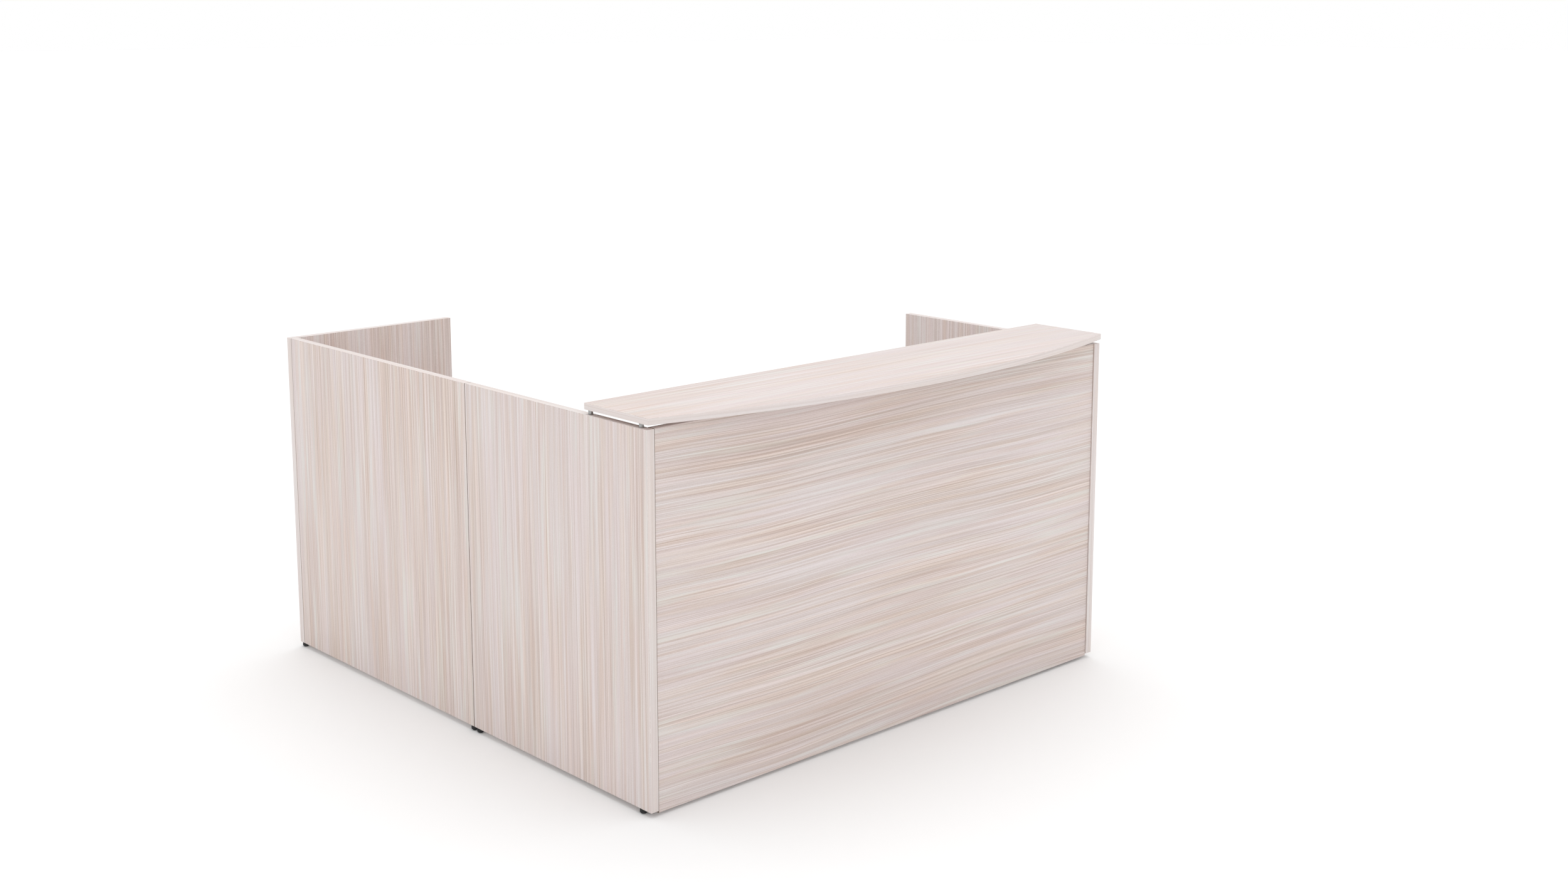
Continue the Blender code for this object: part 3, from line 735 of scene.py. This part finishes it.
def build_file_rails():
    """Plastic rails that saddle the file drawer's sides and carry hanging files."""
    low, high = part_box("file_drawer_box")
    clear, thick = 0.004, 0.0023      # gap at each end; the rail's skirt
    section = [(-0.0118, 0.0003), (-0.0118, 0.0019), (0.0003, 0.0019), (0.0003, 0.0120),
               (0.0009, 0.0126), (0.0017, 0.0126), (thick, 0.0120), (thick, -0.0140),
               (0.0003, -0.0140), (0.0003, 0.0003)]
    for side, face, way in (("left", low.x + DRAWER_WALL, 1), ("right", high.x - DRAWER_WALL, -1)):
        start, end = low.y + DRAWER_WALL + clear, high.y - DRAWER_WALL - clear
        shape = Shape()
        shape.prism([(face + way * x, start, high.z + z) for x, z in section],
                    (0, end - start, 0))
        for y in spread(low.y + 0.060, high.y - 0.060, 3):
            pan_screw(shape, (face + way * thick, y, high.z - 0.0080), way * X, 0.0030)
        shape.finish("file_rail_" + side, "black_plastic", "file_drawer", bevel=0.0002)


def build_pencil_tray():
    """A moulded tray at the front of the box drawer, with one long and three short pockets."""
    low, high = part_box("box_drawer_box")
    wall, rim, floor = DRAWER_WALL + 0.0005, high.z - 0.004, high.z - 0.026
    depth, short, web, thick = 0.112, 0.058, 0.0035, 0.002
    left, right = low.x + wall, high.x - wall
    back, front = high.y - wall - depth, high.y - wall
    third, under = (right - left) / 3, floor - thick
    xs = [left, left + web, left + third - web / 2, left + third + web / 2,
          right - third - web / 2, right - third + web / 2, right - web, right]
    ys = [back, back + web, back + short, back + short + web, front - web, front]

    def sunk(i, j):
        inside = 0 < i < len(xs) - 2
        return inside and (j == 3 or (j == 1 and i % 2 == 1))

    shape = Shape()
    form = shape.form

    def level(i, j):
        if i < 0 or j < 0 or i >= len(xs) - 1 or j >= len(ys) - 1:
            return under
        return floor if sunk(i, j) else rim

    def quad(points):
        form.faces.new([form.verts.new(point) for point in points])

    for i in range(-1, len(xs) - 1):
        for j in range(-1, len(ys) - 1):
            here, east, north = level(i, j), level(i + 1, j), level(i, j + 1)
            if i >= 0 and j >= 0:
                quad([(xs[i], ys[j], here), (xs[i + 1], ys[j], here),
                      (xs[i + 1], ys[j + 1], here), (xs[i], ys[j + 1], here)])
                quad([(xs[i], ys[j], under), (xs[i + 1], ys[j], under),
                      (xs[i + 1], ys[j + 1], under), (xs[i], ys[j + 1], under)])
            if j >= 0 and here != east:
                quad([(xs[i + 1], ys[j], here), (xs[i + 1], ys[j + 1], here),
                      (xs[i + 1], ys[j + 1], east), (xs[i + 1], ys[j], east)])
            if i >= 0 and here != north:
                quad([(xs[i], ys[j + 1], here), (xs[i + 1], ys[j + 1], here),
                      (xs[i + 1], ys[j + 1], north), (xs[i], ys[j + 1], north)])
    bmesh.ops.remove_doubles(form, verts=form.verts[:], dist=0.00001)
    bmesh.ops.dissolve_limit(form, angle_limit=0.01, verts=form.verts[:], edges=form.edges[:])
    shape.finish("pencil_tray", "black_plastic", "box_drawer", bevel=0.0011)


def build_drawer_screws():
    """The screws that hold each drawer front, seen inside its box."""
    for kind in ("box", "file"):
        low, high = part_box(kind + "_drawer_box")
        shape = Shape()
        rows = (low.z + 0.030,) if kind == "box" else (low.z + 0.045, high.z - 0.045)
        for x in (low.x + 0.050, high.x - 0.050):
            for z in rows:
                pan_screw(shape, (x, high.y - DRAWER_WALL, z), -Y)
        shape.finish(kind + "_drawer_front_screws", "zinc_steel", kind + "_drawer")


def build_ball_cages():
    """Steel balls in strips between the slides' channels. They travel with the carriages."""
    for kind in ("box", "file"):
        for side, way in (("left", 1), ("right", -1)):
            low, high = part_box("%s_slide_fixed_%s" % (kind, side))
            wall = low.x if way > 0 else high.x
            height, middle = (low.z + high.z) / 2, (low.y + high.y) / 2
            shape = Shape()
            for out, rise, ball, start, end in (
                    (0.0080, 0.0160, 0.00130, middle + 0.006, high.y - 0.012),
                    (0.0058, 0.0201, 0.00140, low.y + 0.012, middle - 0.006)):
                x = wall + way * out
                for z in (height - rise, height + rise):
                    shape.cuboid((x - 0.0016, start, z - 0.00025), (x + 0.0016, end, z + 0.00025))
                    for y in spread(start + 0.006, end - 0.006, 13):
                        bmesh.ops.create_icosphere(shape.form, subdivisions=2, radius=ball,
                                                   matrix=Matrix.Translation((x, y, z)))
            shape.finish("%s_slide_balls_%s" % (kind, side), "satin_metal",
                         kind + "_carriage")


def build_cover_caps():
    """Push-in caps over the screws in the pedestal's open side."""
    low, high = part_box("pedestal_left_side")
    shape = Shape()
    for y in (low.y + 0.060, high.y - 0.060):
        for z in (low.z + 0.008, high.z - 0.008):
            shape.turned([(0, 0), (0.0062, 0), (0.0062, 0.0003), (0.0056, 0.0007),
                          (0.0030, 0.0010), (0, 0.0011)], Vector((low.x, y, z)), -X, 32)
    shape.finish("pedestal_cover_caps", "grommet_plastic", "counter")


build_feet()
build_standoffs()
build_file_rails()
build_pencil_tray()
build_drawer_screws()
build_ball_cages()
build_cover_caps()
build_bracket_screws()
build_cap_grips()
build_pulls()
build_lock()
# Starts of node names, width of their bevels and its segments.
FINE_BEVELS = (
    (("front_corner", "return_corner", "desk_angle", "return_angle", "return_joint",
      "worktop_splice"), 0.0005, 2),
    (("box_drawer_box", "file_drawer_box"), 0.0007, 2),
    (("cable_sleeve", "cable_cap"), 0.0003, 2),
    (("box_slide_", "file_slide_"), 0.0002, 1),
)
for name in NODES:
    for starts, width, segments in FINE_BEVELS:
        if name.startswith(starts):
            soften(name, width, segments)


# ---- Floor, light, camera -----------------------------------------------------------
def build_floor():
    mesh = bpy.data.meshes.new("studio_floor")
    form = bmesh.new()
    bmesh.ops.create_grid(form, x_segments=1, y_segments=1, size=90.0)
    form.to_mesh(mesh)
    form.free()
    floor = bpy.data.objects.new("studio_floor", mesh)
    bpy.context.scene.collection.objects.link(floor)
    material, nodes, shader = new_material("floor", 0.75)
    shader.inputs["Base Color"].default_value = (0.90, 0.90, 0.90, 1.0)
    shader.inputs["Specular IOR Level"].default_value = 0.2
    mesh.materials.append(material)


def build_light():
    world = bpy.data.worlds.new("studio")
    world.use_nodes = True
    world.node_tree.nodes["Background"].inputs["Color"].default_value = (1, 1, 1, 1)
    world.node_tree.nodes["Background"].inputs["Strength"].default_value = 1.0
    bpy.context.scene.world = world
    light = bpy.data.lights.new("overhead", "SUN")
    light.energy = 0.70
    light.angle = math.radians(50)
    lamp = bpy.data.objects.new("overhead", light)
    bpy.context.scene.collection.objects.link(lamp)
    lamp.location = (0.5, 0.4, 4.0)
    lamp.rotation_euler = (-lamp.location).to_track_quat("-Z", "Y").to_euler()


def build_camera():
    camera = bpy.data.objects.new("camera", bpy.data.cameras.new("camera"))
    bpy.context.scene.collection.objects.link(camera)
    camera.location = (-3.778, -4.4427, 2.075)
    yaw, pitch = math.radians(42.878), math.radians(9.754)
    camera.rotation_euler = (math.radians(90) - pitch, 0, -yaw)
    camera.data.lens = 42.99
    camera.data.sensor_width = 36.0
    camera.data.shift_y = -0.07
    bpy.context.scene.camera = camera


build_floor()
build_light()
build_camera()
bpy.context.scene.view_settings.view_transform = "Standard"
